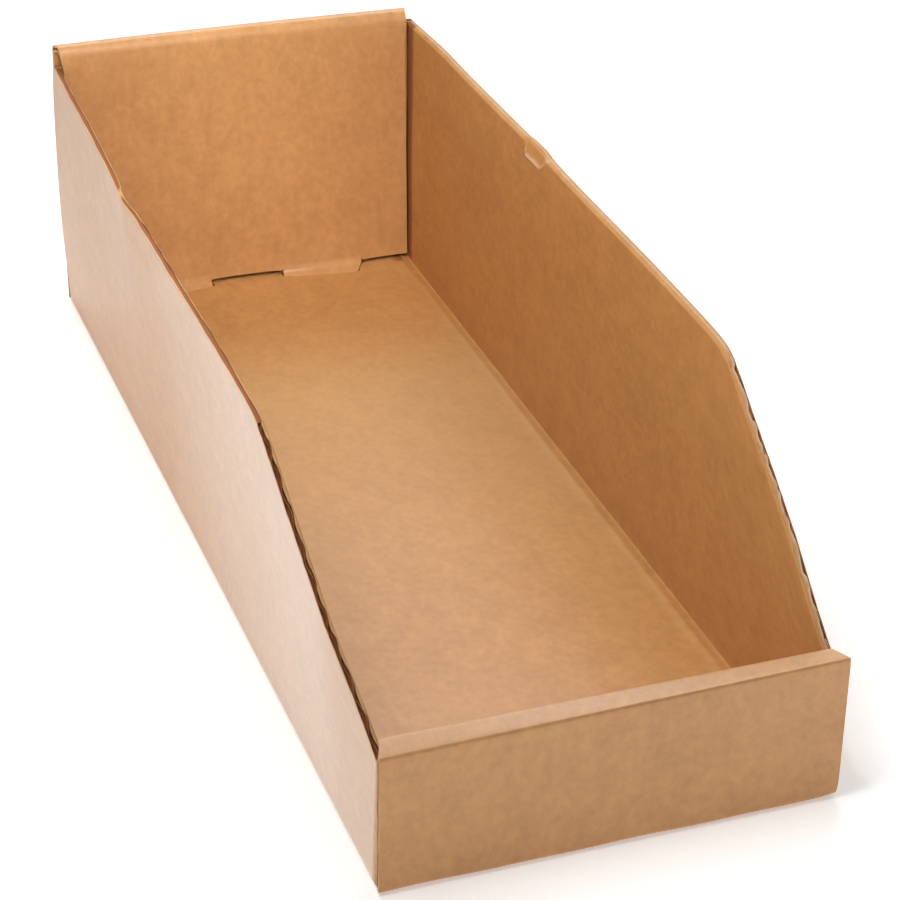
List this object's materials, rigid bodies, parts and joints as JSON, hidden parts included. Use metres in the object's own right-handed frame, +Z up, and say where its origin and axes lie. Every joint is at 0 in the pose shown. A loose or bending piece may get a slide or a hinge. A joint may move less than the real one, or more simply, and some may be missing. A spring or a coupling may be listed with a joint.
{
  "type": "cardboard storage bin",
  "caption": "Long open-topped shelf bin folded from one sheet of brown corrugated board, with sloped sides down to a low rolled-over front lip and a rolled-over back wall.",
  "frame": {"origin": "under the middle of the floor, on the surface that the bin stands on", "axes": "+Z up, +Y from the low front lip to the back wall, +X to the right as seen from the front"},
  "size_m": [0.1684, 0.4572, 0.119],
  "materials": {
    "kraft_board": "uncoated brown kraft"
  },
  "bodies": {
    "root": {"folded_bin": "kraft_board"}
  },
  "joints": []
}
